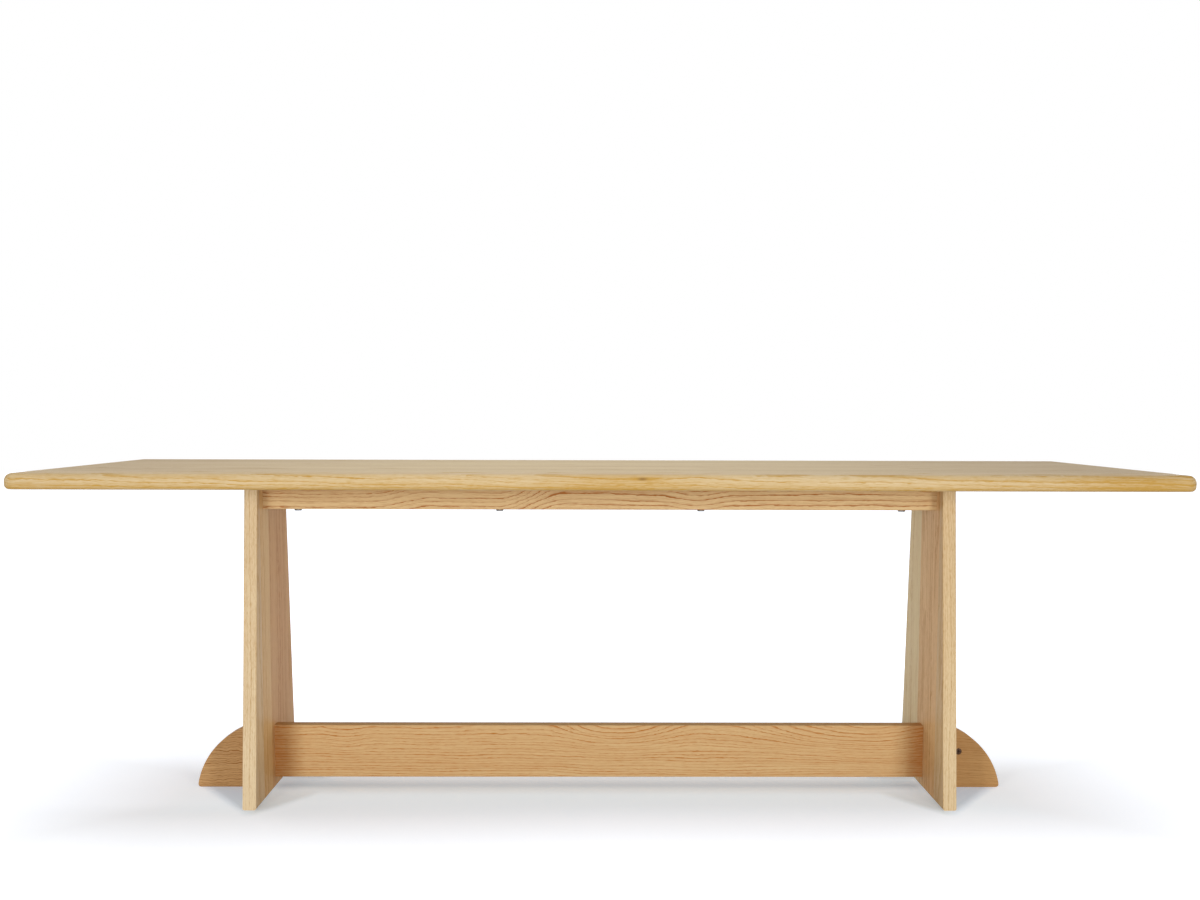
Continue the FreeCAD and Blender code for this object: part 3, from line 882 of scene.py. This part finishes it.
def mottled(name, dark, light, grain, roughness, relief, metal):
    """A finish that varies a little; grain is the repeats in a metre along X, Y and Z."""
    material = empty_material(name)
    tree = material.node_tree
    spot = add_node(tree, "ShaderNodeTexCoord").outputs["Object"]
    scaled = vector_node(tree, "MULTIPLY", spot, grain)
    noise = add_node(tree, "ShaderNodeTexNoise", {"Vector": scaled, "Scale": 1.0,
                     "Detail": mottled_detail}).outputs["Fac"]
    rough = ramp(tree, noise, 0.0, 1.0, roughness - roughness_spread, roughness + roughness_spread)
    bump = add_node(tree, "ShaderNodeBump", {"Height": noise, "Strength": mottled_strength,
                    "Distance": relief}).outputs[0]
    surface = add_node(tree, "ShaderNodeBsdfPrincipled", {
        "Base Color": mix_colours(tree, noise, dark, light), "Roughness": rough, "Normal": bump,
        "Metallic": metal})
    add_node(tree, "ShaderNodeOutputMaterial", {"Surface": surface.outputs[0]})
    return material


oiled_steel = mottled("oiled_steel", screen_colour(88, 84, 80), screen_colour(124, 119, 113),
                      grain=(700, 700, 700), roughness=0.42, relief=0.0001, metal=1.0)
cast_zinc = mottled("cast_zinc", screen_colour(92, 90, 86), screen_colour(136, 134, 130),
                    grain=(500, 500, 500), roughness=0.45, relief=0.0001, metal=1.0)
# The cams' dark brown is painted shade of their pockets.
zinc_with_painted_shade = mottled("zinc_with_painted_shade", screen_colour(66, 42, 22), screen_colour(98, 66, 38),
                       grain=(500, 500, 500), roughness=0.6, relief=0.0001, metal=0.2)
beech = mottled("beech", screen_colour(186, 142, 104), screen_colour(220, 184, 146),
                grain=(60, 900, 900), roughness=0.6, relief=0.0002, metal=0.0)
print("finishes:", oiled_steel.name, cast_zinc.name, zinc_with_painted_shade.name, beech.name)


# %% One bolt, with its seat at the origin
def select_faces(piece, wanted):
    """Select the faces for which wanted(normal) is true."""
    mesh = bmesh.from_edit_mesh(piece.data)
    for face in mesh.faces:
        face.select_set(wanted(face.normal))
    mesh.select_flush_mode()
    bmesh.update_edit_mesh(piece.data)


bolt_head_diameter = 0.0165
bolt_head_height = 0.0038
bolt_head_chamfer = 0.0012
bolt_chamfer_steps = 2
bolt_diameter = 0.006
bolt_grip = 0.017
socket_width = 0.004
socket_depth = 0.0024

rail_low, rail_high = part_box("front_rail")
shank_length = rail_high.z - rail_low.z + bolt_grip
bolt = add_round("bolt", (0, 0, -bolt_head_height / 2), bolt_head_diameter / 2, bolt_head_height)
round_edges(bolt, bolt_head_chamfer, bolt_chamfer_steps,
            lambda a, b: near(a.z, -bolt_head_height) and near(b.z, -bolt_head_height))
work_on(bolt)
bpy.ops.mesh.select_mode(type="FACE")
select_faces(bolt, lambda normal: near(normal.z, 1))
bpy.ops.mesh.inset(thickness=(bolt_head_diameter - bolt_diameter) / 2)
bpy.ops.mesh.extrude_region_move(TRANSFORM_OT_translate={"value": (0, 0, shank_length)})
bpy.ops.object.mode_set(mode="OBJECT")
socket_corner = socket_width / 2 / math.cos(math.pi / 6)
cut_away(bolt, add_round("socket", (0, 0, -bolt_head_height), socket_corner, 2 * socket_depth, sides=6))
print("bolt:", len(bolt.data.polygons), "faces")

# %% Eight bolts under the rails
bolt_spacing = 0.454
bolts_per_rail = 4

number = 0
for name in ("front_rail", "rear_rail"):
    low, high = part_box(name)
    for place in range(bolts_per_rail):
        number += 1
        copy = own_copy(bolt, "top_bolt_%d" % number)
        along = (place - (bolts_per_rail - 1) / 2) * bolt_spacing
        copy.data.transform(Matrix.Translation((along, (low.y + high.y) / 2, low.z)))
        finish_piece(copy, oiled_steel, "dark_steel", "top_bolts")
bpy.data.objects.remove(bolt)
print("bolts:", number)

# %% One cam, its face at the origin and its body towards the back
driver_width = 0.009
driver_bar = 0.0024
driver_depth = 0.005
cam_rim = 0.0004
cam_rim_steps = 2

cam = add_round("cam", (0, cam_length / 2, 0), cam_diameter / 2, cam_length, lying_along_y)
round_edges(cam, cam_rim, cam_rim_steps, lambda a, b: near(a.y, 0) and near(b.y, 0))
for across, upright in ((driver_width, driver_bar), (driver_bar, driver_width)):
    corner = Vector((across / 2, driver_depth, upright / 2))
    cut_away(cam, add_block("driver", -corner, corner))
print("cam:", len(cam.data.polygons), "faces")

# %% A cam in every pocket
half_turn = Matrix.Rotation(math.pi, 4, "Z")

for number, (node, face, inward) in enumerate(cam_places, 1):
    copy = own_copy(cam, "%s_%d" % (node.removesuffix("s"), number))
    if inward.y < 0:
        copy.data.transform(half_turn)
    copy.data.transform(Matrix.Translation(face))
    finish_piece(copy, zinc_with_painted_shade, "zinc", node)
bpy.data.objects.remove(cam)
print("cams:", len(cam_places))

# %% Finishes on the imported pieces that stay
for material, names in ((cast_zinc, ("top_inserts", "rail_bolts", "leg_inserts", "stretcher_bolts")),
                        (beech, ("rail_dowels", "stretcher_dowels"))):
    for name in names:
        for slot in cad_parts[name].material_slots:
            slot.material = material
print("kept pieces: inserts, hidden bolts and dowels")
